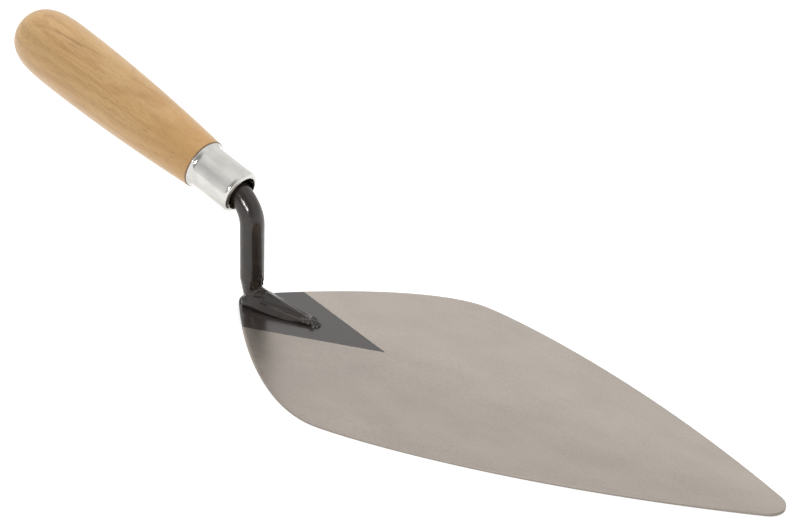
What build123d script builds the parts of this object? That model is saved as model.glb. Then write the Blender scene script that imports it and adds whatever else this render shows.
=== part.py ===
from build123d import *
import os
from math import cos, radians, sin, sqrt, tan

# Brick trowel of the London pattern, in millimetres.
# The origin is on the blade's flat underside, on the centreline, below the widest section.
# +X runs along the blade to its tip, +Y to the left of a user, +Z up towards the handle.
os.makedirs("parts", exist_ok=True)

# ---- Blade ------------------------------------------------------------------------------------
blade_length = 277.0          # heel to tip
blade_width = 127.0           # at the widest section
heel_to_widest = 95.0         # heel to the widest section, along the centreline
heel_half_angle = 46.0        # each heel flank against the centreline
heel_radius = 7.36            # rounding of the heel point
tip_half_angle = 26.7         # each toe edge against the centreline, where it meets the tip
tip_radius = 7.5              # rounding of the tip
heel_thickness = 1.9          # on the centreline at the heel
toe_thickness = 1.4           # on the centreline at the tip
crown_rise = 0.7              # how much thinner the widest section is at its edges
rim_round = 0.25              # softened upper rim
# Fullness of the outline: how far each curve keeps its end direction, as a share of its run.
flank_fullness = 0.31
widest_fullness_heel = 0.313
widest_fullness_toe = 0.065
toe_fullness = 0.56

# ---- Tang: foot, shank, neck, shoulder and spike ------------------------------------------------
foot_length = 46.6            # blade's heel to the foot's nose
foot_width = 14.6             # across the foot beside the shank
foot_straight = 4.0           # straight stretch of each side beside the shank
foot_side_bulge = 1.2         # how far each side stands out from a straight taper
foot_heel_round = 6.0
foot_nose_width = 4.4
foot_inset = 1.3              # foot's heel end stands in from the blade's edge, for the weld
foot_ridge_height = 10.4      # ridge above the underside of the foot, at the shank's axis
foot_ridge_fall = 11.5        # degrees the ridge falls towards the nose
foot_roof_angle = 42.0        # degrees each half of the foot's top falls from the ridge
foot_ridge_round = 2.0
foot_nose_round = 1.6
foot_nose_bevel = 40.0        # degrees of the sloped end of the nose
foot_nose_edge = 0.8          # height left at the nose under the bevel
foot_back_slope = 39.0        # degrees the top falls from the shank to the heel
foot_back_edge = 0.8          # height left at the foot's heel under that slope
shank_diameter = 11.3
shank_from_heel = 5.8         # heel to the shank's axis, at the height of the underside
shank_lean = 3.0              # degrees the shank leans towards the tip
shank_root_draw = 2.5         # how far the shank is drawn in, all round, where it meets the blade
shank_root_height = 12.5      # of the drawn-in stretch, above the blade
neck_height = 53.8            # underside to where the shank's and the handle's axes cross
neck_radius = 16.6            # centreline radius of the neck bend
handle_tilt = 20.4            # degrees the handle's axis rises backwards
shoulder_step = 1.5           # how far the shoulder stands out from the shank, all round
shoulder_thickness = 2.6
spike_length = 82.0
spike_root = 7.4              # side of the square spike at the shoulder
spike_tip = 3.0               # side of the square spike at its end

# ---- Welds --------------------------------------------------------------------------------------
heel_weld_radius = 1.5        # bead round the foot's heel
nose_weld_radius = 1.2        # bead round the foot's nose
heel_weld_reach = 5.2         # half the width that the heel bead spans
nose_weld_reach = 3.4         # length of the nose bead along each side of the nose

# ---- Ferrule ------------------------------------------------------------------------------------
ferrule_length = 24.2
ferrule_diameter = 21.4
ferrule_wall = 0.8
ferrule_lip = 2.3             # outside radius of the turned-in front edge
mouth_clearance = 1.2         # least room between the neck's inside bend and the ferrule's mouth
ferrule_flare = 1.2           # how far the skirt opens, all round
ferrule_flare_length = 4.2
neck_to_ferrule = 6.6         # least distance from the axes' crossing to the ferrule's front
ferrule_recess = 7.6          # ferrule's front to the end of the wood inside it

# ---- Handle -------------------------------------------------------------------------------------
handle_length = 123.2         # visible wood, ferrule to butt
handle_front_step = 0.4       # how far the wood stands out from the ferrule, all round
handle_swell_diameter = 33.8
handle_swell_at = 92.7        # ferrule to the thickest section
handle_front_slope = 5.3      # degrees the wood opens out behind the ferrule
handle_front_round = 0.5
# Fullness of the handle's outline, as a share of each curve's run.
front_fullness = 0.35
swell_fullness_front = 0.29
swell_fullness_butt = 0.55
butt_fullness = 0.97
spigot_clearance = 0.05       # between the wood and the inside of the ferrule
pilot_diameter = 4.4          # drilled hole that the spike is driven into
pilot_overrun = 5.0           # how much deeper the hole is than the spike

# ---- Derived positions --------------------------------------------------------------------------
heel_x = -heel_to_widest
tip_x = blade_length - heel_to_widest
half_width = blade_width / 2
shank_radius = shank_diameter / 2
root_radius = shank_radius - shank_root_draw
shoulder_radius = shank_radius + shoulder_step

lean = radians(shank_lean)
shank_up = Vector(sin(lean), 0, cos(lean))
shank_foot = Vector(heel_x + shank_from_heel, 0, 0)
neck_corner = shank_foot + shank_up * (neck_height / cos(lean))

tilt = radians(handle_tilt)
handle_back = Vector(-cos(tilt), 0, sin(tilt))

# The ferrule's lip leaves room for the shank, and its mouth reaches over the end of the neck bend
# only as far as leaves the same room for the inside of the bend.
ferrule_radius = ferrule_diameter / 2
lip_outer = min(ferrule_lip, ferrule_radius - shank_radius - mouth_clearance)
mouth_radius = ferrule_radius - lip_outer
neck_turn = radians(90) - tilt + lean
neck_end = neck_radius * tan(neck_turn / 2)
inside_bend = neck_radius - shank_radius
mouth_reach = sqrt(inside_bend**2 - (neck_radius - mouth_radius + mouth_clearance) ** 2)
ferrule_front = neck_corner + handle_back * max(neck_to_ferrule, neck_end - mouth_reach)
joint_centre = ferrule_front + handle_back * ferrule_length
spigot_length = ferrule_length - ferrule_recess
wood_front = joint_centre - handle_back * spigot_length

# Working plane of the turned parts: x along the handle to the butt, y outwards from its axis.
turning_plane = Plane(origin=joint_centre, x_dir=handle_back, z_dir=(0, 1, 0))
turning_axis = Axis(joint_centre, handle_back)


def square_to_handle(distance):
    """Plane square to the handle's axis, this far behind the end of the wood in the ferrule."""
    return Plane(origin=wood_front + handle_back * distance, x_dir=(0, 1, 0), z_dir=handle_back)


def square_to_shank(centre):
    """Plane square to the shank's axis at this point on it."""
    return Plane(origin=centre, x_dir=(0, 1, 0), z_dir=shank_up)


# ---- Outline of the blade -----------------------------------------------------------------------
flank = radians(heel_half_angle)
toe = radians(tip_half_angle)
heel_run = heel_to_widest
toe_run = tip_x
flank_start = (heel_x + heel_radius * (1 - sin(flank)), heel_radius * cos(flank))
flank_pull = (
    flank_start[0] + flank_fullness * heel_run * cos(flank),
    flank_start[1] + flank_fullness * heel_run * sin(flank),
)
toe_end = (tip_x - tip_radius * (1 - sin(toe)), tip_radius * cos(toe))
toe_pull = (
    toe_end[0] - toe_fullness * toe_run * cos(toe),
    toe_end[1] + toe_fullness * toe_run * sin(toe),
)

with BuildSketch() as blade_outline:
    with BuildLine():
        CenterArc((heel_x + heel_radius, 0), heel_radius, 180, heel_half_angle - 90)
        Bezier(flank_start, flank_pull, (-widest_fullness_heel * heel_run, half_width), (0, half_width))
        Bezier((0, half_width), (widest_fullness_toe * toe_run, half_width), toe_pull, toe_end)
        CenterArc((tip_x - tip_radius, 0), tip_radius, 90 - tip_half_angle, tip_half_angle - 90)
        mirror(about=Plane.XZ)
    make_face()

# ---- Blade: flat underneath, the top a very flat barrel that falls towards the tip --------------
crown_radius = half_width**2 / (2 * crown_rise)
crown_start = Vector(heel_x, 0, heel_thickness - crown_radius)
crown_run = Vector(blade_length, 0, toe_thickness - heel_thickness)
crown_plane = Plane(origin=crown_start, x_dir=(0, 1, 0), z_dir=crown_run)

with BuildPart() as blade:
    add(blade_outline.sketch)
    extrude(amount=heel_thickness + toe_thickness)
    with BuildSketch(crown_plane):
        Circle(crown_radius)
    extrude(amount=blade_length + crown_rise, both=True, mode=Mode.INTERSECT)
    rim = blade.faces().sort_by(Axis.Z)[-1].outer_wire().edges()
    fillet(rim, radius=rim_round)
blade.part.label = "blade"
export_step(blade.part, "parts/blade.step")

# ---- Tang ---------------------------------------------------------------------------------------
foot_nose_x = heel_x + foot_length
foot_half = foot_width / 2
nose_half = foot_nose_width / 2
roof_drop = foot_width * tan(radians(foot_roof_angle))
ridge_fall = radians(foot_ridge_fall)
ridge_top = Vector(shank_foot.X, 0, heel_thickness + foot_ridge_height)
roof_plane = Plane(origin=ridge_top, x_dir=(0, 1, 0), z_dir=(cos(ridge_fall), 0, -sin(ridge_fall)))
bevel = radians(foot_nose_bevel)
nose_top = (foot_nose_x, 0, heel_thickness + foot_nose_edge)
bevel_plane = Plane(origin=nose_top, z_dir=(sin(bevel), 0, cos(bevel)))
root_bottom = shank_foot + shank_up * (heel_thickness / 2)
root_top = shank_foot + shank_up * (heel_thickness + shank_root_height)

# The foot's heel end is a V parallel to the blade's heel flanks.
flanks_meet = heel_x + heel_radius * (1 - 1 / sin(flank))
foot_heel_x = flanks_meet + foot_inset / sin(flank)
foot_corner_x = foot_heel_x + foot_half / tan(flank)
foot_apex_x = foot_heel_x + foot_heel_round * (1 / sin(flank) - 1)
back_slope = radians(foot_back_slope)
back_edge = (foot_apex_x, 0, heel_thickness + foot_back_edge)
back_plane = Plane(origin=back_edge, z_dir=(-sin(back_slope), 0, cos(back_slope)))

with BuildSketch() as foot_outline:
    with BuildLine():
        Polyline((foot_heel_x, 0), (foot_corner_x, foot_half), (foot_corner_x + foot_straight, foot_half))
        SagittaArc((foot_corner_x + foot_straight, foot_half), (foot_nose_x, nose_half), foot_side_bulge)
        Line((foot_nose_x, nose_half), (foot_nose_x, 0))
        mirror(about=Plane.XZ)
    make_face()
    fillet(foot_outline.vertices().group_by(Axis.X)[-1], radius=foot_nose_round)
    fillet(foot_outline.vertices().group_by(Axis.X)[0], radius=foot_heel_round)

with BuildPart() as tang:
    add(foot_outline.sketch)
    extrude(amount=foot_length)
    with BuildSketch(roof_plane) as roof:
        with BuildLine():
            Polyline(
                (-foot_width, -foot_length),
                (foot_width, -foot_length),
                (foot_width, -roof_drop),
                (0, 0),
                (-foot_width, -roof_drop),
                close=True,
            )
        make_face()
        fillet(roof.vertices().sort_by(Axis.Z)[-1], radius=foot_ridge_round)
    extrude(amount=2 * foot_length, both=True, mode=Mode.INTERSECT)
    split(bisect_by=bevel_plane, keep=Keep.BOTTOM)
    split(bisect_by=back_plane, keep=Keep.BOTTOM)
    with BuildSketch(square_to_shank(root_bottom)):
        Circle(root_radius)
    with BuildSketch(square_to_shank(root_top)):
        Circle(shank_radius)
    loft()
    with BuildLine(Plane.XZ) as shank_line:
        FilletPolyline(
            (root_top.X, root_top.Z),
            (neck_corner.X, neck_corner.Z),
            (wood_front.X, wood_front.Z),
            radius=neck_radius,
        )
    with BuildSketch(square_to_shank(root_top)):
        Circle(shank_radius)
    sweep()
    with BuildSketch(square_to_handle(0)):
        Circle(shoulder_radius)
    extrude(amount=-shoulder_thickness)
    with BuildSketch(square_to_handle(0)):
        Rectangle(spike_root, spike_root)
    with BuildSketch(square_to_handle(spike_length)):
        Rectangle(spike_tip, spike_tip)
    loft()
    add(blade.part, mode=Mode.SUBTRACT)
tang.part.label = "tang"
export_step(tang.part, "parts/tang.step")

# ---- Weld beads: each a round bead through three points -----------------------------------------
heel_bead = (
    (foot_apex_x + heel_weld_reach, -heel_weld_reach, heel_thickness),
    (foot_apex_x, 0, heel_thickness),
    (foot_apex_x + heel_weld_reach, heel_weld_reach, heel_thickness),
)
nose_bead = (
    (foot_nose_x - nose_weld_reach, -nose_half, heel_thickness),
    (foot_nose_x, 0, heel_thickness),
    (foot_nose_x - nose_weld_reach, nose_half, heel_thickness),
)
weld_beads = {
    "heel_weld": (heel_bead, heel_weld_radius),
    "nose_weld": (nose_bead, nose_weld_radius),
}

for weld_name, (bead_points, bead_radius) in weld_beads.items():
    with BuildPart() as weld:
        with BuildLine() as bead_line:
            ThreePointArc(*bead_points)
        with BuildSketch(Plane(origin=bead_line.line @ 0, z_dir=bead_line.line % 0)):
            Circle(bead_radius)
        sweep()
        add(tang.part, mode=Mode.SUBTRACT)
        add(blade.part, mode=Mode.SUBTRACT)
    weld.part.label = weld_name
    export_step(weld.part, f"parts/{weld_name}.step")

# ---- Ferrule: one wall, flared at the back and turned in at the front ----------------------------
flare_radius = ferrule_radius + ferrule_flare
inner_radius = ferrule_radius - ferrule_wall
lip_inner = lip_outer - ferrule_wall
lip_start = lip_outer - ferrule_length

with BuildPart() as ferrule:
    with BuildSketch(turning_plane):
        with BuildLine():
            outer_flare = TangentArc((-ferrule_flare_length, ferrule_radius), (0, flare_radius), tangent=(1, 0))
            Line(outer_flare @ 1, (0, flare_radius - ferrule_wall))
            inner_flare = TangentArc(
                (-ferrule_flare_length, inner_radius),
                (0, flare_radius - ferrule_wall),
                tangent=(1, 0),
            )
            Line(inner_flare @ 0, (lip_start, inner_radius))
            CenterArc((lip_start, mouth_radius), lip_inner, 90, 90)
            Line((ferrule_wall - ferrule_length, mouth_radius), (-ferrule_length, mouth_radius))
            CenterArc((lip_start, mouth_radius), lip_outer, 180, -90)
            Line((lip_start, ferrule_radius), outer_flare @ 0)
        make_face()
    revolve(axis=turning_axis)
ferrule.part.label = "ferrule"
export_step(ferrule.part, "parts/ferrule.step")

# ---- Handle: turned wood with a spigot in the ferrule and a blind hole for the spike -------------
front_radius = flare_radius + handle_front_step
swell_radius = handle_swell_diameter / 2
butt_run = handle_length - handle_swell_at
opening = radians(handle_front_slope)
spigot_radius = inner_radius - spigot_clearance
spigot_flare = flare_radius - ferrule_wall - spigot_clearance

with BuildPart() as handle:
    with BuildSketch(turning_plane):
        with BuildLine():
            Line((-spigot_length, 0), (-spigot_length, spigot_radius))
            Line((-spigot_length, spigot_radius), (-ferrule_flare_length, spigot_radius))
            TangentArc((-ferrule_flare_length, spigot_radius), (0, spigot_flare), tangent=(1, 0))
            Line((0, spigot_flare), (0, front_radius))
            Bezier(
                (0, front_radius),
                (
                    front_fullness * handle_swell_at,
                    front_radius + front_fullness * handle_swell_at * sin(opening) / cos(opening),
                ),
                (handle_swell_at - swell_fullness_front * handle_swell_at, swell_radius),
                (handle_swell_at, swell_radius),
            )
            Bezier(
                (handle_swell_at, swell_radius),
                (handle_swell_at + swell_fullness_butt * butt_run, swell_radius),
                (handle_length, butt_fullness * swell_radius),
                (handle_length, 0),
            )
            Line((handle_length, 0), (-spigot_length, 0))
        make_face()
    revolve(axis=turning_axis)
    front_edge = handle.edges().filter_by(GeomType.CIRCLE).sort_by(lambda edge: edge.radius)
    fillet([edge for edge in front_edge if abs(edge.radius - front_radius) < spigot_clearance],
           radius=handle_front_round)
    with BuildSketch(square_to_handle(0)):
        Circle(pilot_diameter / 2)
    extrude(amount=spike_length + pilot_overrun, mode=Mode.SUBTRACT)
    add(tang.part, mode=Mode.SUBTRACT)
handle.part.label = "handle"
export_step(handle.part, "parts/handle.step")
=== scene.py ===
"""Looks of a London-pattern brick trowel around its packed CAD frame: an add-on that runs as a script."""

import math

import bmesh
import bpy
import numpy as np
from mathutils import Matrix, Vector


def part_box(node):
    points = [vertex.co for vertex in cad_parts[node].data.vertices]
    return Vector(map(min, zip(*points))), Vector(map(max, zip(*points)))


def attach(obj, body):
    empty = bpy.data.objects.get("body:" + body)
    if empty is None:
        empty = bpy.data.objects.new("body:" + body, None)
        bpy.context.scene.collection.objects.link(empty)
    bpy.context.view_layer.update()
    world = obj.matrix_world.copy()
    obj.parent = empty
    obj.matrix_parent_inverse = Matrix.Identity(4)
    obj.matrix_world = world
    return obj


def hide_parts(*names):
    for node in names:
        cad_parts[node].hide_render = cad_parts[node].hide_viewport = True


bl_info = {
    "name": "Brick trowel",
    "version": (1, 0, 0),
    "blender": (4, 5, 0),
    "location": "3D View > Sidebar > Trowel",
    "description": "Ground steel blade, black lacquered tang, plated ferrule and turned handle",
    "category": "Object",
}

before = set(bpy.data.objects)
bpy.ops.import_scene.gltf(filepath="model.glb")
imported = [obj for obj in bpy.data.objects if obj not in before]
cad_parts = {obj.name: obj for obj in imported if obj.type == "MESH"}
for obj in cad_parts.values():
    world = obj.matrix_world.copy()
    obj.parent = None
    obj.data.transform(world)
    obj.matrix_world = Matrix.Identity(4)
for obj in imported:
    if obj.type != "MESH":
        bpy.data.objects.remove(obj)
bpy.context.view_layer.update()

BODY = "root"
MM = 0.001

# ---- The frame's own places, in metres -----------------------------------------------------------
blade_low, blade_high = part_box("blade")
HEEL_X = blade_low[0]
TIP_X = blade_high[0]
HALF_WIDTH = max(blade_high[1], -blade_low[1])
HEEL_THICKNESS = 1.9 * MM
TOE_THICKNESS = 1.4 * MM
HEEL_HALF_ANGLE = 46.0
TIP_HALF_ANGLE = 26.7
HEEL_RADIUS = 7.36 * MM
TIP_RADIUS = 7.5 * MM
# Fullness of the blade's outline, as a share of each curve's run.
FLANK_FULLNESS = 0.31
WIDEST_FULLNESS_HEEL = 0.313
WIDEST_FULLNESS_TOE = 0.065
TOE_FULLNESS = 0.56
HANDLE_TILT = math.radians(20.4)
SHANK_LEAN = math.radians(3.0)
SHANK_FROM_HEEL = 5.8 * MM
NECK_HEIGHT = 53.8 * MM
NECK_TO_FERRULE = 6.6 * MM
FERRULE_LENGTH = 24.2 * MM

HANDLE_BACK = np.array([-math.cos(HANDLE_TILT), 0.0, math.sin(HANDLE_TILT)])
HANDLE_UP = np.array([math.sin(HANDLE_TILT), 0.0, math.cos(HANDLE_TILT)])
SIDEWAYS = np.array([0.0, 1.0, 0.0])
NECK_CORNER = np.array([HEEL_X + SHANK_FROM_HEEL + NECK_HEIGHT * math.tan(SHANK_LEAN), 0.0, NECK_HEIGHT])
JOINT = NECK_CORNER + (NECK_TO_FERRULE + FERRULE_LENGTH) * HANDLE_BACK


# ---- Sizes and colours that a user would change --------------------------------------------------
def colour_property(name, description, default):
    """A linear colour with its default."""
    return bpy.props.FloatVectorProperty(
        name=name, description=description, default=default, subtype="COLOR", size=3, min=0.0, max=1.0
    )


def length_property(name, description, default):
    """A length in metres with its default."""
    return bpy.props.FloatProperty(
        name=name, description=description, default=default, subtype="DISTANCE", unit="LENGTH"
    )


def share_property(name, description, default):
    """A share from 0 to 1 with its default."""
    return bpy.props.FloatProperty(
        name=name, description=description, default=default, min=0.0, max=1.0, subtype="FACTOR"
    )


class TrowelBladeSettings(bpy.types.PropertyGroup):
    """Blade and its lacquered patch."""

    crown: length_property("Crown", "How much thinner the widest section is at its edges", 0.7 * MM)
    spine: length_property("Spine", "Half width of the rounded ridge along the blade", 11 * MM)
    rim: length_property("Rim", "How far the softened edge comes in", 0.35 * MM)
    patch_tip: length_property("Patch tip", "Heel to the tip of the lacquered patch", 85.6 * MM)
    patch_angle: bpy.props.FloatProperty(
        name="Patch half angle",
        description="Each edge of the lacquered patch against the centreline",
        default=math.radians(18.1),
        subtype="ANGLE",
        unit="ROTATION",
    )
    steel: colour_property("Steel", "Ground steel", (0.418, 0.372, 0.330))
    roughness: share_property("Roughness", "Roughness of the ground steel", 0.36)


class TrowelTangSettings(bpy.types.PropertyGroup):
    """Lacquered tang and its welds."""

    lacquer: colour_property("Lacquer", "Black lacquer", (0.024, 0.019, 0.016))
    patch: colour_property("Patch", "The same lacquer, thinner, sprayed on the blade", (0.034, 0.027, 0.025))
    roughness: share_property("Roughness", "Roughness of the lacquer", 0.17)
    softening: length_property("Softening", "How far the forging's edges are rounded over", 0.35 * MM)


class TrowelFerruleSettings(bpy.types.PropertyGroup):
    """Plated ferrule."""

    radius: length_property("Radius", "Outside radius of the tube", 10.7 * MM)
    wall: length_property("Wall", "Thickness of the sheet", 0.8 * MM)
    lip: length_property("Lip", "Outside radius of the turned-in front edge", 2.3 * MM)
    flare: length_property("Flare", "How far the skirt opens", 1.2 * MM)
    flare_length: length_property("Flare length", "Length of the opened skirt", 2.6 * MM)
    plate: colour_property("Plate", "Nickel plate", (0.63, 0.62, 0.59))
    roughness: share_property("Roughness", "Roughness of the plate", 0.10)


class TrowelHandleSettings(bpy.types.PropertyGroup):
    """Turned wooden handle."""

    length: length_property("Length", "Visible wood, ferrule to butt", 123.2 * MM)
    swell_at: length_property("Swell at", "Ferrule to the thickest section", 92.7 * MM)
    front_radius: length_property("Front radius", "Wood beside the ferrule", 12.3 * MM)
    swell_radius: length_property("Swell radius", "Thickest section", 16.87 * MM)
    early: colour_property("Early wood", "Paler wood between the growth lines", (0.572, 0.350, 0.132))
    late: colour_property("Late wood", "Darker wood of the growth lines", (0.420, 0.222, 0.063))
    front: colour_property("Front", "Warmer wood beside the ferrule", (0.530, 0.278, 0.078))
    olive: colour_property("Olive", "Greener clouds along the handle", (0.420, 0.300, 0.120))
    fleck: colour_property("Fleck", "Short pores along the grain", (0.230, 0.108, 0.030))
    streak: colour_property("Streak", "Mineral streak near the butt", (0.250, 0.118, 0.016))
    lacquer: share_property("Lacquer", "Weight of the clear lacquer", 0.5)


SETTINGS = {
    "trowel_blade": TrowelBladeSettings,
    "trowel_tang": TrowelTangSettings,
    "trowel_ferrule": TrowelFerruleSettings,
    "trowel_handle": TrowelHandleSettings,
}


# ---- Curves and surfaces -------------------------------------------------------------------------
def bezier(points, count):
    """Cubic curve through two end points, pulled by two inner ones: the Bernstein weights of t."""
    a, b, c, d = (np.array(point, dtype=float) for point in points)
    t = np.linspace(0.0, 1.0, count)[:, None]
    s = 1.0 - t
    return s**3 * a + 3 * s**2 * t * b + 3 * s * t**2 * c + t**3 * d


def arc(centre, radius, start, end, count):
    """Arc of a circle: centre plus radius times the cosine and sine of an angle that runs evenly."""
    angle = np.radians(np.linspace(start, end, count))
    return np.array(centre, dtype=float) + radius * np.stack([np.cos(angle), np.sin(angle)], axis=1)


def joined(*stretches):
    """One curve from stretches that meet, without the points that they share."""
    return np.concatenate([stretches[0]] + [stretch[1:] for stretch in stretches[1:]])


def grid_quads(rows, columns, wrap_rows, wrap_columns):
    """Corner numbers of the quads of a grid of points, which may close on itself either way."""
    row = np.arange(rows if wrap_rows else rows - 1)
    column = np.arange(columns if wrap_columns else columns - 1)
    r, c = np.meshgrid(row, column, indexing="ij")
    r_next = (r + 1) % rows
    c_next = (c + 1) % columns
    corners = [r * columns + c, r * columns + c_next, r_next * columns + c_next, r_next * columns + c]
    return np.stack(corners, axis=-1).reshape(-1, 4)


def closed_object(name, points, quads):
    """Smooth closed mesh object: points that coincide are merged and its faces point outwards."""
    mesh = bpy.data.meshes.new(name)
    mesh.from_pydata(points.reshape(-1, 3).tolist(), [], quads.tolist())
    shape = bmesh.new()
    shape.from_mesh(mesh)
    bmesh.ops.remove_doubles(shape, verts=shape.verts, dist=1e-7)
    bmesh.ops.dissolve_degenerate(shape, edges=shape.edges, dist=1e-8)
    bmesh.ops.recalc_face_normals(shape, faces=shape.faces)
    shape.to_mesh(mesh)
    shape.free()
    mesh.shade_smooth()
    piece = bpy.data.objects.new(name, mesh)
    bpy.context.scene.collection.objects.link(piece)
    return piece


def adopt(piece, material, slot, *nodes):
    """The piece gets its material, stands for the CAD nodes and rides on the body."""
    piece.data.materials.clear()
    piece.data.materials.append(material)
    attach(piece, BODY)
    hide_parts(*nodes)


def lathe(name, profile, closes, segments=256):
    """Turned surface: each profile point (along, out) is swept round the handle's axis, at the joint
    plus along times the axis plus out times the cosine and sine of an even angle."""
    angle = np.linspace(0.0, 2 * math.pi, segments, endpoint=False)
    spoke = np.cos(angle)[:, None] * SIDEWAYS + np.sin(angle)[:, None] * HANDLE_UP
    along = profile[:, 0][:, None, None] * HANDLE_BACK
    out = profile[:, 1][:, None, None] * spoke[None, :, :]
    points = JOINT + along + out
    return closed_object(name, points, grid_quads(len(profile), segments, closes, True))


# ---- Shader nodes --------------------------------------------------------------------------------
class Shader:
    """A material with a Principled surface, and short calls for its nodes."""

    def __init__(self, name):
        self.material = bpy.data.materials.new(name)
        self.material.use_nodes = True
        self.tree = self.material.node_tree
        self.surface = self.tree.nodes["Principled BSDF"]

    def node(self, kind, **settings):
        """A new node with its settings."""
        made = self.tree.nodes.new(kind)
        for key, value in settings.items():
            setattr(made, key, value)
        return made

    def put(self, socket, value):
        """A value or another node's output into a socket."""
        if isinstance(value, bpy.types.NodeSocket):
            self.tree.links.new(value, socket)
        else:
            socket.default_value = value

    def math(self, operation, *values, clamp=False):
        """One Math node."""
        made = self.node("ShaderNodeMath", operation=operation, use_clamp=clamp)
        for socket, value in zip(made.inputs, values):
            self.put(socket, value)
        return made.outputs[0]

    def ramp(self, value, low, high, to_low=0.0, to_high=1.0, smooth=True):
        """Value from low to high becomes to_low to to_high, and stays at the ends beyond them."""
        kind = "SMOOTHSTEP" if smooth else "LINEAR"
        made = self.node("ShaderNodeMapRange", interpolation_type=kind, clamp=True)
        for socket, number in zip(made.inputs, (value, low, high, to_low, to_high)):
            self.put(socket, number)
        return made.outputs[0]

    def mix(self, share, first, second):
        """Colour between the first and the second by share."""
        made = self.node("ShaderNodeMix", data_type="RGBA")
        self.put(made.inputs[0], share)
        self.put(made.inputs[6], first if isinstance(first, bpy.types.NodeSocket) else (*first, 1.0))
        self.put(made.inputs[7], second if isinstance(second, bpy.types.NodeSocket) else (*second, 1.0))
        return made.outputs[2]

    def group(self, tree, **values):
        """A shared effect, with its inputs. Returns its first output."""
        made = self.node("ShaderNodeGroup", node_tree=tree)
        for key, value in values.items():
            self.put(made.inputs[key], value)
        return made.outputs[0]

    def place(self):
        """Object coordinates."""
        return self.node("ShaderNodeTexCoord").outputs["Object"]

    def turned_place(self, origin, rotation):
        """Object coordinates measured from an origin along turned axes."""
        made = self.node("ShaderNodeMapping", vector_type="TEXTURE")
        self.put(made.inputs["Vector"], self.place())
        self.put(made.inputs["Location"], tuple(origin))
        self.put(made.inputs["Rotation"], rotation)
        return made.outputs[0]

    def axes(self, place):
        """The three coordinates of a place."""
        made = self.node("ShaderNodeSeparateXYZ")
        self.put(made.inputs[0], place)
        return made.outputs[0], made.outputs[1], made.outputs[2]

    def bump(self, height, strength, distance):
        """Surface normal bumped by a height."""
        made = self.node("ShaderNodeBump")
        self.put(made.inputs["Height"], height)
        self.put(made.inputs["Strength"], strength)
        self.put(made.inputs["Distance"], distance)
        return made.outputs[0]


def effect(name, inputs):
    """An empty node group with float or vector inputs and one float output.
    Returns (tree, input sockets, output socket)."""
    tree = bpy.data.node_groups.new(name, "ShaderNodeTree")
    for label, kind in inputs:
        tree.interface.new_socket(name=label, in_out="INPUT", socket_type=kind)
    tree.interface.new_socket(name="Mask", in_out="OUTPUT", socket_type="NodeSocketFloat")
    source = tree.nodes.new("NodeGroupInput")
    target = tree.nodes.new("NodeGroupOutput")
    return tree, source.outputs, target.inputs[0]


def grain_effect():
    """Fractal noise drawn out along X: Size across, Stretch times as long, faded from Low to High."""
    if "grain" in bpy.data.node_groups:
        return bpy.data.node_groups["grain"]
    tree, given, result = effect(
        "grain",
        [
            ("Place", "NodeSocketVector"),
            ("Size", "NodeSocketFloat"),
            ("Stretch", "NodeSocketFloat"),
            ("Low", "NodeSocketFloat"),
            ("High", "NodeSocketFloat"),
        ],
    )
    link = tree.links.new
    across = tree.nodes.new("ShaderNodeMath")
    across.operation = "DIVIDE"
    across.inputs[0].default_value = 1.0
    link(given["Size"], across.inputs[1])
    along = tree.nodes.new("ShaderNodeMath")
    along.operation = "DIVIDE"
    link(across.outputs[0], along.inputs[0])
    link(given["Stretch"], along.inputs[1])
    scale = tree.nodes.new("ShaderNodeCombineXYZ")
    link(along.outputs[0], scale.inputs[0])
    link(across.outputs[0], scale.inputs[1])
    link(across.outputs[0], scale.inputs[2])
    scaled = tree.nodes.new("ShaderNodeVectorMath")
    scaled.operation = "MULTIPLY"
    link(given["Place"], scaled.inputs[0])
    link(scale.outputs[0], scaled.inputs[1])
    noise = tree.nodes.new("ShaderNodeTexNoise")
    noise.inputs["Scale"].default_value = 1.0
    noise.inputs["Detail"].default_value = 3.0
    noise.inputs["Roughness"].default_value = 0.55
    link(scaled.outputs[0], noise.inputs["Vector"])
    fade = tree.nodes.new("ShaderNodeMapRange")
    fade.interpolation_type = "SMOOTHSTEP"
    link(noise.outputs[0], fade.inputs[0])
    link(given["Low"], fade.inputs[1])
    link(given["High"], fade.inputs[2])
    link(fade.outputs[0], result)
    return tree


def scaled_colour(colour, factor):
    """A colour made lighter or darker."""
    return tuple(min(1.0, channel * factor) for channel in colour)


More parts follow.
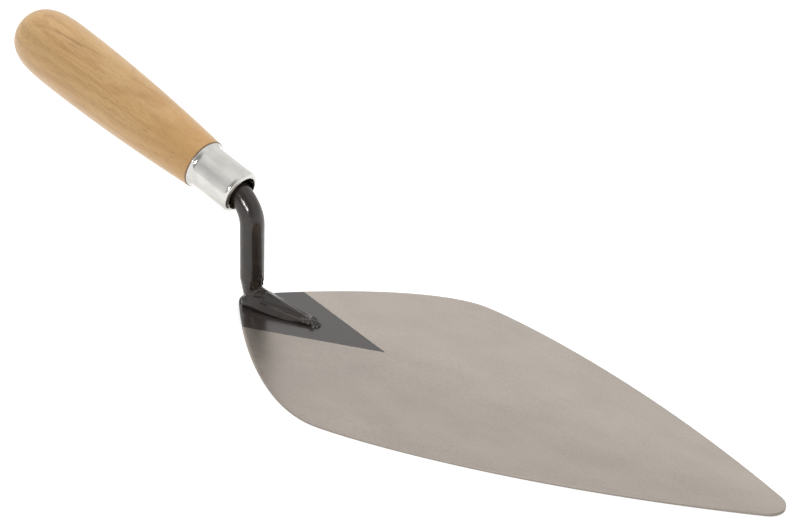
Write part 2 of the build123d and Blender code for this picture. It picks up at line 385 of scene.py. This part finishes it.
# ---- Finishes ------------------------------------------------------------------------------------
def ground_steel(settings, tang):
    """Ground satin steel, with the black patch masked off towards the heel."""
    shader = Shader("ground_steel")
    grain = grain_effect()
    place = shader.place()
    x, y, z = shader.axes(place)

    brushed = shader.group(grain, Place=place, Size=0.35 * MM, Stretch=16.0, Low=0.3, High=0.7)
    speckle = shader.group(grain, Place=place, Size=0.7 * MM, Stretch=1.3, Low=0.3, High=0.7)
    cloud = shader.group(grain, Place=place, Size=14 * MM, Stretch=2.2, Low=0.3, High=0.7)
    # Painted light: the side ramp runs across the blade, so the far half is painted lighter and the near
    # half darker, standing in for how light falls on the two slopes of the roofed top.
    side = shader.ramp(y, -14 * MM, 14 * MM)
    tone = shader.math("MULTIPLY", brushed, 0.20)
    tone = shader.math("MULTIPLY_ADD", speckle, 0.34, tone)
    tone = shader.math("MULTIPLY_ADD", cloud, 0.22, tone)
    tone = shader.math("MULTIPLY_ADD", side, 0.34, tone)
    steel = shader.mix(tone, scaled_colour(settings.steel, 0.82), scaled_colour(settings.steel, 1.14))
    rim = shader.node("ShaderNodeAttribute", attribute_name="rim").outputs["Fac"]
    steel = shader.mix(rim, steel, scaled_colour(settings.steel, 0.72))
    steel_rough = shader.math("MULTIPLY_ADD", brushed, 0.10, settings.roughness - 0.05)
    steel_rough = shader.math("MULTIPLY_ADD", rim, 0.3, steel_rough)

    wobble = shader.group(grain, Place=place, Size=3 * MM, Stretch=1.0, Low=0.2, High=0.8)
    across = shader.math("ABSOLUTE", y)
    tip_x = HEEL_X + settings.patch_tip
    reach = shader.math("MULTIPLY", shader.math("SUBTRACT", tip_x, x), math.tan(settings.patch_angle))
    inside = shader.math("SUBTRACT", reach, across)
    inside = shader.math("MULTIPLY_ADD", wobble, 0.25 * MM, inside)
    patch = shader.ramp(inside, 0.05 * MM, 0.3 * MM)
    patch = shader.math("MULTIPLY", patch, shader.ramp(z, 0.3 * MM, 0.5 * MM))

    peel = shader.group(grain, Place=place, Size=1.6 * MM, Stretch=1.0, Low=0.2, High=0.8)
    black = shader.mix(peel, scaled_colour(tang.patch, 0.85), scaled_colour(tang.patch, 1.15))
    shader.surface.inputs["IOR"].default_value = 1.6
    shader.put(shader.surface.inputs["Base Color"], shader.mix(patch, steel, black))
    shader.put(shader.surface.inputs["Metallic"], shader.math("SUBTRACT", 1.0, patch))
    black_rough = shader.math("MULTIPLY_ADD", peel, 0.06, tang.roughness)
    rough = shader.math("MULTIPLY", steel_rough, shader.math("SUBTRACT", 1.0, patch))
    shader.put(shader.surface.inputs["Roughness"], shader.math("MULTIPLY_ADD", black_rough, patch, rough))
    fine = shader.math("MULTIPLY", brushed, shader.math("SUBTRACT", 1.0, patch))
    height = shader.math("MULTIPLY_ADD", peel, 0.4, fine)
    shader.put(shader.surface.inputs["Normal"], shader.bump(height, 0.3, 0.004 * MM))
    return shader.material


def black_lacquer(settings):
    """Semi-gloss black lacquer over forged steel: faint peel, and thinner and browner where it ran off."""
    shader = Shader("black_lacquer")
    grain = grain_effect()
    place = shader.place()
    peel = shader.group(grain, Place=place, Size=1.5 * MM, Stretch=1.0, Low=0.2, High=0.8)
    thin = shader.group(grain, Place=place, Size=6 * MM, Stretch=1.0, Low=0.45, High=0.7)
    brown = (settings.lacquer[0] * 1.6, settings.lacquer[1] * 1.35, settings.lacquer[2] * 1.15)
    shader.put(shader.surface.inputs["Base Color"], shader.mix(thin, settings.lacquer, brown))
    upright = shader.turned_place(NECK_CORNER, (0.0, math.pi / 2, 0.0))
    drawn = shader.group(grain, Place=upright, Size=0.8 * MM, Stretch=14.0, Low=0.25, High=0.75)
    rough = shader.math("MULTIPLY_ADD", drawn, 0.14, settings.roughness - 0.05)
    shader.put(shader.surface.inputs["Roughness"], rough)
    forged = shader.group(grain, Place=place, Size=4.5 * MM, Stretch=1.0, Low=0.2, High=0.8)
    height = shader.math("MULTIPLY_ADD", forged, 4.0, peel)
    height = shader.math("MULTIPLY_ADD", drawn, 2.0, height)
    shader.put(shader.surface.inputs["Normal"], shader.bump(height, 0.6, 0.012 * MM))
    return shader.material


def nickel_plate(settings):
    """Bright plate over drawn steel: fine lines along the tube and cloudy wiping marks."""
    shader = Shader("nickel_plate")
    grain = grain_effect()
    place = shader.turned_place(JOINT, (0.0, math.pi + HANDLE_TILT, 0.0))
    drawn = shader.group(grain, Place=place, Size=0.45 * MM, Stretch=30.0, Low=0.3, High=0.7)
    wiped = shader.group(grain, Place=place, Size=5 * MM, Stretch=1.5, Low=0.3, High=0.7)
    share = shader.math("MULTIPLY_ADD", drawn, 0.4, shader.math("MULTIPLY", wiped, 0.6))
    dull = scaled_colour(settings.plate, 0.84)
    bright = scaled_colour(settings.plate, 1.06)
    shader.put(shader.surface.inputs["Base Color"], shader.mix(share, dull, bright))
    shader.surface.inputs["Metallic"].default_value = 1.0
    rough = shader.math("MULTIPLY_ADD", wiped, 0.08, settings.roughness - 0.04)
    shader.put(shader.surface.inputs["Roughness"], rough)
    shader.put(shader.surface.inputs["Normal"], shader.bump(drawn, 0.2, 0.004 * MM))
    return shader.material


def turned_wood(settings):
    """Pale lacquered hardwood. Growth lines are shells round a pith beside the handle, pores are short
    flecks along it, the wood is warmer beside the ferrule, and one mineral streak runs near the butt."""
    shader = Shader("turned_wood")
    grain = grain_effect()
    place = shader.turned_place(JOINT, (0.0, math.pi + HANDLE_TILT, 0.0))
    along, across, down = shader.axes(place)

    warp = shader.group(grain, Place=place, Size=11 * MM, Stretch=7.0, Low=0.0, High=1.0)
    pith_across = shader.math("SUBTRACT", across, 9 * MM)
    pith_down = shader.math("SUBTRACT", down, 34 * MM)
    square = shader.math("ADD", shader.math("POWER", pith_across, 2.0), shader.math("POWER", pith_down, 2.0))
    shell = shader.math("SQRT", square)
    shell = shader.math("MULTIPLY_ADD", warp, 9 * MM, shell)
    shell = shader.math("MULTIPLY_ADD", along, 0.03, shell)
    wave = shader.math("SINE", shader.math("MULTIPLY", shell, 2 * math.pi / (3.4 * MM)))
    growth = shader.ramp(wave, -0.6, 1.0)
    growth = shader.math("MULTIPLY", growth, 0.34)
    broad = shader.group(grain, Place=place, Size=16 * MM, Stretch=4.0, Low=0.35, High=0.65)
    tone = shader.math("MULTIPLY_ADD", broad, 0.34, growth)
    fibre = shader.group(grain, Place=place, Size=0.50 * MM, Stretch=20.0, Low=0.3, High=0.7)
    tone = shader.math("MULTIPLY_ADD", fibre, 0.46, tone, clamp=True)
    wood = shader.mix(tone, settings.early, settings.late)
    front = shader.ramp(along, 4 * MM, 46 * MM, 0.55, 0.0)
    wood = shader.mix(front, wood, settings.front)
    olive = shader.group(grain, Place=place, Size=9 * MM, Stretch=5.0, Low=0.50, High=0.72)
    wood = shader.mix(shader.math("MULTIPLY", olive, 0.30), wood, settings.olive)

    pores = shader.group(grain, Place=place, Size=0.48 * MM, Stretch=6.0, Low=0.56, High=0.68)
    wood = shader.mix(shader.math("MULTIPLY", pores, 0.34), wood, settings.fleck)
    rays = shader.group(grain, Place=place, Size=0.8 * MM, Stretch=12.0, Low=0.50, High=0.80)
    wood = shader.mix(shader.math("MULTIPLY", rays, 0.22), wood, settings.early)

    streak_line = shader.math("MULTIPLY_ADD", along, 0.1816, across)
    streak_line = shader.math("SUBTRACT", streak_line, 11.58 * MM)
    streak_wave = shader.math("SUBTRACT", warp, 0.5)
    frayed = shader.group(grain, Place=place, Size=1.3 * MM, Stretch=5.0, Low=0.2, High=0.8)
    streak_wave = shader.math("MULTIPLY_ADD", frayed, 0.9, streak_wave)
    off_streak = shader.math("ABSOLUTE", shader.math("MULTIPLY_ADD", streak_wave, 2.0 * MM, streak_line))
    streak = shader.ramp(off_streak, 0.1 * MM, 1.2 * MM, 1.0, 0.0)
    streak = shader.math("MULTIPLY", streak, shader.ramp(fibre, 0.1, 0.7, 0.45, 1.0))
    streak = shader.math("MULTIPLY", streak, shader.ramp(along, 71 * MM, 78 * MM))
    streak = shader.math("MULTIPLY", streak, shader.ramp(along, 84 * MM, 116 * MM, 1.0, 0.0))
    streak = shader.math("MULTIPLY", streak, shader.ramp(down, -8 * MM, -4 * MM, 1.0, 0.0))
    wood = shader.mix(shader.math("MULTIPLY", streak, 0.75), wood, settings.streak)

    # Dark ring beside the ferrule: partly grime and lacquer build-up at the joint, partly painted shade in
    # the crease where the ferrule's flare meets the wood.
    seam_grime_and_shade = shader.ramp(along, 0.15 * MM, 0.9 * MM, 0.75, 0.0)
    wood = shader.mix(seam_grime_and_shade, wood, scaled_colour(settings.fleck, 0.35))
    shader.put(shader.surface.inputs["Base Color"], wood)
    rough = shader.math("MULTIPLY_ADD", pores, 0.15, 0.42)
    shader.put(shader.surface.inputs["Roughness"], rough)
    shader.surface.inputs["Coat Weight"].default_value = settings.lacquer
    shader.surface.inputs["Coat Roughness"].default_value = 0.26
    sunk = shader.math("MULTIPLY_ADD", pores, -1.0, shader.math("MULTIPLY", fibre, 0.25))
    shader.put(shader.surface.inputs["Normal"], shader.bump(sunk, 0.4, 0.03 * MM))
    return shader.material


# ---- Pieces --------------------------------------------------------------------------------------
def half_outline():
    """Blade's outline on one side of its centreline, as points (x, half width): the heel's round, the
    flank's curve to the widest section, the toe's curve and the tip's round."""
    flank, toe = math.radians(HEEL_HALF_ANGLE), math.radians(TIP_HALF_ANGLE)
    heel_run, toe_run = -HEEL_X, TIP_X
    flank_start = np.array([HEEL_X + HEEL_RADIUS * (1 - math.sin(flank)), HEEL_RADIUS * math.cos(flank)])
    flank_pull = flank_start + FLANK_FULLNESS * heel_run * np.array([math.cos(flank), math.sin(flank)])
    toe_end = np.array([TIP_X - TIP_RADIUS * (1 - math.sin(toe)), TIP_RADIUS * math.cos(toe)])
    toe_pull = toe_end + TOE_FULLNESS * toe_run * np.array([-math.cos(toe), math.sin(toe)])
    widest = np.array([0.0, HALF_WIDTH])
    flank_curve = [flank_start, flank_pull, (-WIDEST_FULLNESS_HEEL * heel_run, HALF_WIDTH), widest]
    toe_curve = [widest, (WIDEST_FULLNESS_TOE * toe_run, HALF_WIDTH), toe_pull, toe_end]
    return joined(
        arc((HEEL_X + HEEL_RADIUS, 0.0), HEEL_RADIUS, 180.0, 90.0 + HEEL_HALF_ANGLE, 20),
        bezier(flank_curve, 90),
        bezier(toe_curve, 150),
        arc((TIP_X - TIP_RADIUS, 0.0), TIP_RADIUS, 90.0 - TIP_HALF_ANGLE, 0.0, 24),
    )


def blade_surface(settings):
    """Blade as one closed skin. At each outline point (x, w) the loop runs over the top, round one rim,
    back along the flat underside and up the other rim. The top is the spine's thickness less a roof
    with a rounded ridge, and each rim is half an ellipse as high as the edge is thick. The rim attribute
    rises from 0 to 1 as the surface turns from level to upright."""
    outline = half_outline()
    x, w = outline[:, 0][:, None], np.maximum(outline[:, 1], 0.0)[:, None]
    rim = np.minimum(settings.rim, w)
    flat = w - rim
    spine_height = HEEL_THICKNESS + (TOE_THICKNESS - HEEL_THICKNESS) * (x - HEEL_X) / (TIP_X - HEEL_X)
    drop = settings.crown * (w / HALF_WIDTH) ** 2
    roof_run = np.sqrt(w**2 + settings.spine**2) - settings.spine + 1e-9

    across = np.linspace(-1.0, 1.0, 49)[None, :]
    top_y = flat * across
    top_z = spine_height - drop * (np.sqrt(top_y**2 + settings.spine**2) - settings.spine) / roof_run
    edge_z = top_z[:, -1:]
    turn = np.linspace(math.pi / 2, -math.pi / 2, 11)[None, 1:-1]
    bulge = np.abs(np.cos(turn)) ** 0.6
    rim_y = flat + rim * bulge
    rim_z = edge_z * (0.5 + 0.5 * np.sin(turn))
    under_y = -top_y
    under_z = np.zeros_like(under_y)
    loop_y = np.concatenate([top_y, rim_y, under_y, -rim_y[:, ::-1]], axis=1)
    loop_z = np.concatenate([top_z, rim_z, under_z, rim_z[:, ::-1]], axis=1)
    points = np.stack([np.broadcast_to(x, loop_y.shape), loop_y, loop_z], axis=-1)
    piece = closed_object("blade_plate", points, grid_quads(*loop_y.shape, False, True))
    upright = np.abs(mesh_arrays(piece.data)[1][:, 2])
    attribute = piece.data.attributes.new("rim", "FLOAT", "POINT")
    attribute.data.foreach_set("value", np.clip((0.97 - upright) / 0.3, 0.0, 1.0))
    return piece


def forged_tang(settings):
    """The CAD tang's skin merged, remeshed evenly and smoothed, so that its edges look forged."""
    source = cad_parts["tang"]
    mesh = source.data.copy()
    mesh.name = "tang_forging"
    shape = bmesh.new()
    shape.from_mesh(mesh)
    bmesh.ops.remove_doubles(shape, verts=shape.verts, dist=1e-6)
    bmesh.ops.recalc_face_normals(shape, faces=shape.faces)
    shape.to_mesh(mesh)
    shape.free()
    piece = bpy.data.objects.new("tang_forging", mesh)
    bpy.context.scene.collection.objects.link(piece)
    remesh = piece.modifiers.new("even", "REMESH")
    remesh.mode = "VOXEL"
    remesh.voxel_size = settings.softening
    remesh.use_smooth_shade = True
    smooth = piece.modifiers.new("soften", "SMOOTH")
    smooth.factor = 0.5
    smooth.iterations = 10
    bpy.context.view_layer.update()
    graph = bpy.context.evaluated_depsgraph_get()
    finished = bpy.data.meshes.new_from_object(piece.evaluated_get(graph))
    piece.modifiers.clear()
    piece.data = finished
    finished.name = "tang_forging"
    points, normals = mesh_arrays(finished)
    depth = groove(points) - shoulder(points)
    depth -= lumps(points, (HEEL_X + 11 * MM, 0.0, 10 * MM), 5.0 * MM, 0.50 * MM)
    depth -= lumps(points, (HEEL_X + 44.0 * MM, 0.0, 3.5 * MM), 4.2 * MM, 0.75 * MM)
    finished.vertices.foreach_set("co", (points - depth[:, None] * normals).ravel())
    finished.update()
    finished.shade_smooth()
    return piece


def mesh_arrays(mesh):
    """A mesh's points and point normals."""
    points = np.empty(len(mesh.vertices) * 3)
    normals = np.empty(len(mesh.vertices) * 3)
    mesh.vertices.foreach_get("co", points)
    mesh.vertex_normals.foreach_get("vector", normals)
    return points.reshape(-1, 3), normals.reshape(-1, 3)


def lumps(points, centre, reach, height):
    """Hammer and weld lumps: twelve sine waves in seeded directions, faded out by a bell round a centre."""
    draw = np.random.default_rng(7)
    directions = draw.normal(size=(12, 3))
    directions /= np.linalg.norm(directions, axis=1)[:, None]
    wavelengths = draw.uniform(1.2 * MM, 2.6 * MM, size=12)
    phases = draw.uniform(0.0, 2 * math.pi, size=12)
    waves = np.sin(points @ directions.T * (2 * math.pi / wavelengths) + phases).mean(axis=1)
    bell = np.exp(-(((points - np.array(centre)) / reach) ** 2).sum(axis=1))
    return height * 2.2 * waves * bell


def groove(points):
    """Hammered crease down each flank of the foot: a bell across a line that closes on the ridge towards
    the nose, faded in behind the shank and out before the nose."""
    from_heel = points[:, 0] - HEEL_X
    line = 5.0 * MM - 0.150 * (from_heel - 13 * MM)
    across = np.exp(-(((np.abs(points[:, 1]) - line) / (0.7 * MM)) ** 2))
    fade_in = np.clip((from_heel - 13 * MM) / (5 * MM), 0.0, 1.0)
    fade_out = np.clip((42 * MM - from_heel) / (5 * MM), 0.0, 1.0)
    above = points[:, 2] > HEEL_THICKNESS + 0.8 * MM
    depth = 0.80 * MM
    return depth * across * fade_in * fade_out * above


def shoulder(points):
    """Fullness of the foot's lower flanks: a bell across each flank at seven tenths of its half width,
    faded in behind the shank, and a round swelling over the nose."""
    from_heel = points[:, 0] - HEEL_X
    half = np.interp(from_heel, (4 * MM, 14 * MM, 44 * MM), (7.2 * MM, 7.2 * MM, 3.0 * MM))
    across = np.exp(-(((np.abs(points[:, 1]) / half - 0.72) / 0.24) ** 2))
    fade_in = np.clip((from_heel - 9 * MM) / (6 * MM), 0.0, 1.0)
    fade_out = np.clip((47 * MM - from_heel) / (3 * MM), 0.0, 1.0)
    above = np.clip((points[:, 2] - HEEL_THICKNESS - 0.3 * MM) / (0.5 * MM), 0.0, 1.0)
    nose_centre = np.array((HEEL_X + 43.0 * MM, 0.0, 4 * MM))
    nose = np.exp(-(((points - nose_centre) / (2.6 * MM)) ** 2).sum(axis=1))
    flank_fullness, nose_fullness = 0.85 * MM, 0.6 * MM
    return (flank_fullness * across * fade_in * fade_out + nose_fullness * nose) * above


def bead(name, node, ripples):
    """Weld bead round one end of the foot: a tube along a half ellipse inside the CAD bead's box, fuller
    in each ripple and drawn to a point at both ends by the eighth power of its run."""
    low, high = (np.array(corner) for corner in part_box(node))
    radius = high[2] - HEEL_THICKNESS
    heel_end = name.startswith("heel")
    reach_y = high[1] - radius
    tip_x = low[0] + radius if heel_end else high[0] - radius
    root_x = high[0] - radius if heel_end else low[0] + radius
    run = np.linspace(-1.0, 1.0, 121)
    centre_x = tip_x + (root_x - tip_x) * np.abs(run) ** 1.7
    centre = np.stack([centre_x, reach_y * run, np.full_like(run, HEEL_THICKNESS - 0.1 * radius)], axis=1)
    ahead = np.gradient(centre, axis=0)
    ahead /= np.linalg.norm(ahead, axis=1)[:, None]
    up = np.array([0.0, 0.0, 1.0])
    out = np.cross(ahead, up)
    wave = 0.5 + 0.5 * np.cos(run * ripples * math.pi)
    size = radius * np.sqrt(np.maximum(1.0 - np.abs(run) ** 8, 0.0)) * (0.86 + 0.12 * wave**2)
    angle = np.linspace(0.0, 2 * math.pi, 36, endpoint=False)
    ring = np.cos(angle)[None, :, None] * out[:, None, :] + np.sin(angle)[None, :, None] * up
    points = centre[:, None, :] + size[:, None, None] * ring
    return closed_object(name, points, grid_quads(len(run), len(angle), False, True))


def ferrule_profile(settings):
    """Ferrule's wall as one closed loop of (along, out): flare, tube, lip and back inside."""
    radius, wall, lip = settings.radius, settings.wall, settings.lip
    mouth = radius - lip
    lip_start = lip - FERRULE_LENGTH
    run, rise = settings.flare_length, settings.flare
    bend = (run**2 + rise**2) / (2 * rise)
    sweep = math.degrees(math.asin(run / bend))
    outer = arc((-run, radius + bend), bend, -90.0 + sweep, -90.0, 16)
    inner = arc((-run, radius - wall + bend), bend, -90.0, -90.0 + sweep, 16)
    tube = np.linspace((-run, radius), (lip_start, radius), 12)
    front = arc((lip_start, mouth), lip, 90.0, 180.0, 20)
    fold = np.array([[-FERRULE_LENGTH, mouth], [wall - FERRULE_LENGTH, mouth]])
    back = arc((lip_start, mouth), lip - wall, 180.0, 90.0, 12)
    inside = np.linspace((lip_start, radius - wall), (-run, radius - wall), 12)
    edge_low = (0.0, radius + rise - wall)
    edge_high = (0.0, radius + rise)
    edge = np.array([edge_low, edge_high])
    return joined(outer, tube, front, fold, back, inside, inner, edge)[:-1]


def handle_profile(settings):
    """Handle from the axis at the spigot's end to the axis at the butt, as (along, out)."""
    length, swell_at = settings.length, settings.swell_at
    front, swell = settings.front_radius, settings.swell_radius
    spigot, spigot_length = 9.85 * MM, 16.6 * MM
    flare, flare_run = 11.05 * MM, 2.6 * MM
    bend = (flare_run**2 + (flare - spigot) ** 2) / (2 * (flare - spigot))
    sweep = math.degrees(math.asin(flare_run / bend))
    edge = 0.5 * MM
    slope = math.tan(math.radians(5.3))
    end = np.linspace((-spigot_length, 0.0), (-spigot_length, spigot), 8)
    tenon = np.linspace((-spigot_length, spigot), (-flare_run, spigot), 8)
    seat = arc((-flare_run, spigot + bend), bend, -90.0, -90.0 + sweep, 10)
    shoulder = np.linspace((0.0, flare), (0.0, front - edge), 4)
    corner = arc((edge, front - edge), edge, 180.0, 92.0, 10)
    run = swell_at - edge
    front_curve = [
        corner[-1],
        (edge + 0.35 * run, front + 0.35 * run * slope),
        (swell_at - 0.29 * swell_at, swell),
        (swell_at, swell),
    ]
    butt_run = length - swell_at
    butt_curve = [
        (swell_at, swell),
        (swell_at + 0.55 * butt_run, swell),
        (length, 0.97 * swell),
        (length, 0.0),
    ]
    return joined(end, tenon, seat, shoulder, corner, bezier(front_curve, 90), bezier(butt_curve, 70))


# ---- Operators -----------------------------------------------------------------------------------
class TROWEL_OT_blade(bpy.types.Operator):
    """Build the ground blade with its lacquered patch"""

    bl_idname = "trowel.blade"
    bl_label = "Blade"

    def execute(self, context):
        scene = context.scene
        piece = blade_surface(scene.trowel_blade)
        adopt(piece, ground_steel(scene.trowel_blade, scene.trowel_tang), "blade_steel", "blade")
        return {"FINISHED"}


class TROWEL_OT_tang(bpy.types.Operator):
    """Build the lacquered forging and its two weld beads"""

    bl_idname = "trowel.tang"
    bl_label = "Tang and welds"

    def execute(self, context):
        settings = context.scene.trowel_tang
        lacquer = black_lacquer(settings)
        adopt(forged_tang(settings), lacquer, "black_lacquer", "tang")
        adopt(bead("heel_bead", "heel_weld", 13), lacquer, "weld_lacquer", "heel_weld")
        adopt(bead("nose_bead", "nose_weld", 7), lacquer, "weld_lacquer", "nose_weld")
        return {"FINISHED"}


class TROWEL_OT_ferrule(bpy.types.Operator):
    """Build the plated ferrule"""

    bl_idname = "trowel.ferrule"
    bl_label = "Ferrule"

    def execute(self, context):
        settings = context.scene.trowel_ferrule
        piece = lathe("ferrule_tube", ferrule_profile(settings), True)
        adopt(piece, nickel_plate(settings), "ferrule_plate", "ferrule")
        return {"FINISHED"}


class TROWEL_OT_handle(bpy.types.Operator):
    """Build the turned handle"""

    bl_idname = "trowel.handle"
    bl_label = "Handle"

    def execute(self, context):
        settings = context.scene.trowel_handle
        piece = lathe("handle_turning", handle_profile(settings), False)
        adopt(piece, turned_wood(settings), "handle_wood", "handle")
        return {"FINISHED"}


class TROWEL_OT_stage(bpy.types.Operator):
    """Set the pale floor, the soft studio light and the camera"""

    bl_idname = "trowel.stage"
    bl_label = "Stage"

    def execute(self, context):
        scene = context.scene
        scene.view_settings.view_transform = "Standard"
        half = 5.0
        mesh = bpy.data.meshes.new("floor")
        corners = [(-half, -half, 0.0), (half, -half, 0.0), (half, half, 0.0), (-half, half, 0.0)]
        mesh.from_pydata(corners, [], [(0, 1, 2, 3)])
        floor = bpy.data.objects.new("floor", mesh)
        scene.collection.objects.link(floor)
        shader = Shader("floor_white")
        shader.surface.inputs["Base Color"].default_value = (0.72, 0.72, 0.72, 1.0)
        shader.surface.inputs["Roughness"].default_value = 0.9
        shader.surface.inputs["Emission Color"].default_value = (1.0, 1.0, 1.0, 1.0)
        shader.surface.inputs["Emission Strength"].default_value = 0.46
        mesh.materials.append(shader.material)
        white_surround(scene)
        soft_light("strip", -66.0, 17.0, 0.9, 0.11, 0.18, power=5.0, reflection_only=True)
        soft_light("overhead", 150.0, 72.0, 1.6, 1.2, 1.2, power=9.0, matt_only=True)
        studio_camera(scene)
        return {"FINISHED"}


def white_surround(scene):
    """White all round, dimmer behind the camera, where the room is."""
    world = bpy.data.worlds.new("studio")
    scene.world = world
    world.use_nodes = True
    nodes, links = world.node_tree.nodes, world.node_tree.links
    background = nodes["Background"]
    direction = nodes.new("ShaderNodeTexCoord")
    towards = nodes.new("ShaderNodeVectorMath")
    towards.operation = "DOT_PRODUCT"
    towards.inputs[1].default_value = (0.50, -0.80, 0.33)
    links.new(direction.outputs["Generated"], towards.inputs[0])
    fade = nodes.new("ShaderNodeMapRange")
    fade.interpolation_type = "SMOOTHSTEP"
    for socket, number in zip(fade.inputs[1:5], (0.45, 0.97, 1.06, 0.38)):
        socket.default_value = number
    links.new(towards.outputs["Value"], fade.inputs[0])
    links.new(fade.outputs[0], background.inputs["Strength"])
    background.inputs["Color"].default_value = (1.0, 1.0, 1.0, 1.0)


def soft_light(
    name, azimuth, elevation, distance, width, height, power, reflection_only=False, matt_only=False
):
    """Rectangular light aimed at the neck, from a direction given in degrees from +X and above level."""
    data = bpy.data.lights.new(name, "AREA")
    data.shape = "RECTANGLE"
    data.size, data.size_y, data.energy = width, height, power
    light = bpy.data.objects.new(name, data)
    bpy.context.scene.collection.objects.link(light)
    turn, rise = math.radians(azimuth), math.radians(elevation)
    way = Vector((math.cos(turn) * math.cos(rise), math.sin(turn) * math.cos(rise), math.sin(rise)))
    light.rotation_euler = way.to_track_quat("Z", "Y").to_euler()
    light.location = Vector(NECK_CORNER) + distance * way
    light.visible_camera = False
    light.visible_diffuse = not reflection_only
    light.visible_glossy = not matt_only


def studio_camera(scene):
    """Camera above the tip's near side, looking back over the blade at the handle."""
    data = bpy.data.cameras.new("camera")
    data.sensor_width = 36.0
    data.lens = 71.72
    camera = bpy.data.objects.new("camera", data)
    scene.collection.objects.link(camera)
    azimuth, elevation, roll = (math.radians(angle) for angle in (37.131, 27.260, 0.196))
    turn = (
        Matrix.Rotation(azimuth, 4, "Z")
        @ Matrix.Rotation(math.pi / 2 - elevation, 4, "X")
        @ Matrix.Rotation(roll, 4, "Z")
    )
    camera.matrix_world = Matrix.Translation((0.364717, -0.483953, 0.361299)) @ turn
    scene.camera = camera


OPERATORS = (TROWEL_OT_blade, TROWEL_OT_tang, TROWEL_OT_ferrule, TROWEL_OT_handle, TROWEL_OT_stage)


class TROWEL_PT_sidebar(bpy.types.Panel):
    """Sizes, colours and build buttons of the trowel"""

    bl_label = "Brick trowel"
    bl_idname = "TROWEL_PT_sidebar"
    bl_space_type = "VIEW_3D"
    bl_region_type = "UI"
    bl_category = "Trowel"

    def draw(self, context):
        for name, group in SETTINGS.items():
            box = self.layout.box()
            box.label(text=group.__doc__)
            for key in group.__annotations__:
                box.prop(getattr(context.scene, name), key)
        for operator in OPERATORS:
            self.layout.operator(operator.bl_idname)


def register():
    """Register the settings, the operators and the panel."""
    for name, group in SETTINGS.items():
        bpy.utils.register_class(group)
        setattr(bpy.types.Scene, name, bpy.props.PointerProperty(type=group))
    for operator in (*OPERATORS, TROWEL_PT_sidebar):
        bpy.utils.register_class(operator)


def unregister():
    """Undo register."""
    for operator in (*OPERATORS, TROWEL_PT_sidebar):
        bpy.utils.unregister_class(operator)
    for name, group in SETTINGS.items():
        delattr(bpy.types.Scene, name)
        bpy.utils.unregister_class(group)


def main():
    """Build every piece and the stage."""
    register()
    bpy.ops.trowel.blade()
    bpy.ops.trowel.tang()
    bpy.ops.trowel.ferrule()
    bpy.ops.trowel.handle()
    bpy.ops.trowel.stage()


if __name__ == "__main__":
    main()
